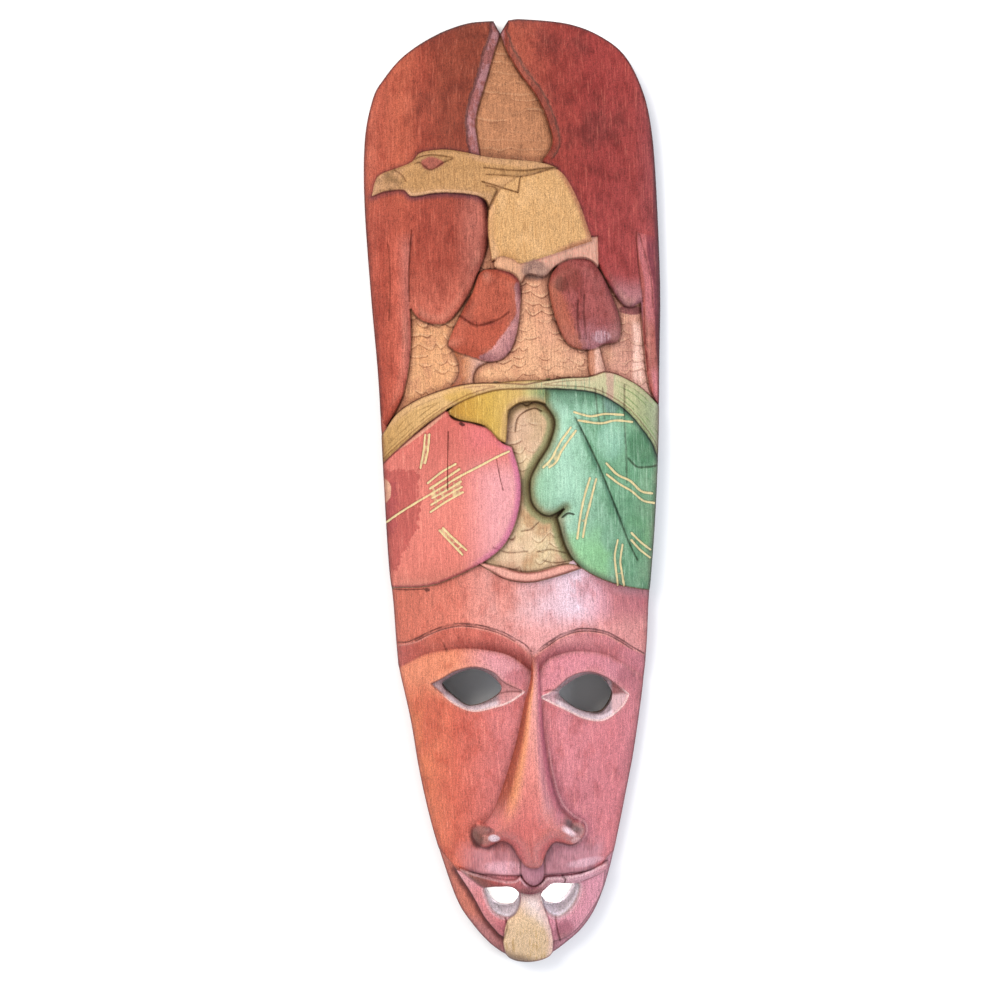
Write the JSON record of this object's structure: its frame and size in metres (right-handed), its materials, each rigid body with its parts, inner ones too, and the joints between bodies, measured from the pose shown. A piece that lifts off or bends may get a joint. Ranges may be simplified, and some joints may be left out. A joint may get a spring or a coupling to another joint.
{
  "type": "bird mask",
  "caption": "Long hollow wooden mask, carved in relief with an eagle over two leaves and a narrow face with open eyes and mouth, to lie flat or hang on a wall",
  "frame": {"origin": "middle of the bottom of the mask's box, on the plane of its flat back rim", "axes": "+X across the mask, to its viewer's right; +Y along it towards the notched crown; +Z out of the carved front"},
  "size_m": [0.1586, 0.508, 0.0543],
  "materials": {
    "stained_wood": "stained and lightly waxed"
  },
  "bodies": {
    "root": {"mask": "stained_wood"}
  },
  "joints": []
}
